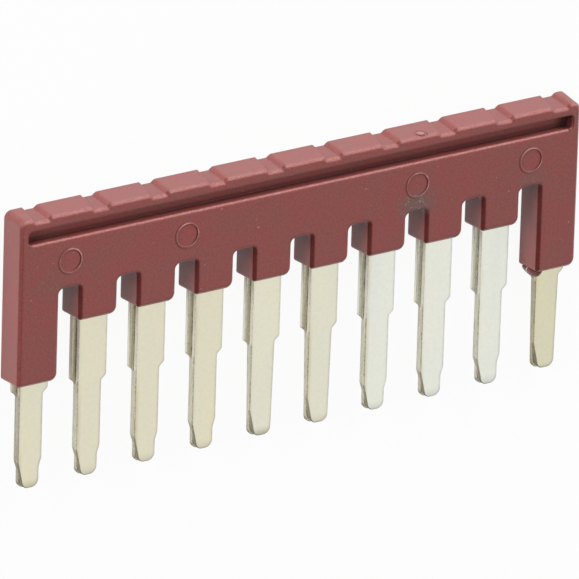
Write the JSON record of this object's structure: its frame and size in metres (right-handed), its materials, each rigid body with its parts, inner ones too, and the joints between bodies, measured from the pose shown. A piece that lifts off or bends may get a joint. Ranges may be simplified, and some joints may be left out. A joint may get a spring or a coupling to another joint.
{
  "type": "terminal block jumper bar",
  "caption": "Plug-in comb bridge that joins a row of rail-mounted terminal blocks: moulded housing with stamped two-leaf blades.",
  "frame": {"origin": "middle of the bar's length and height, on the flat back face it lies on", "axes": "+X along the row of blades, from the end at the left of the front face to the end at the right; +Y from the blade tips to the top edge of the housing; +Z out of the front face, so the bar lies on its back"},
  "size_m": [0.0508, 0.023, 0.0024],
  "materials": {
    "housing_plastic": "satin moulded nylon, dull red",
    "tinned_copper": "tin plated stamped copper, satin, slightly warm"
  },
  "bodies": {
    "root": {"housing": "housing_plastic", "front_comb": "tinned_copper", "back_comb": "tinned_copper"}
  },
  "joints": []
}
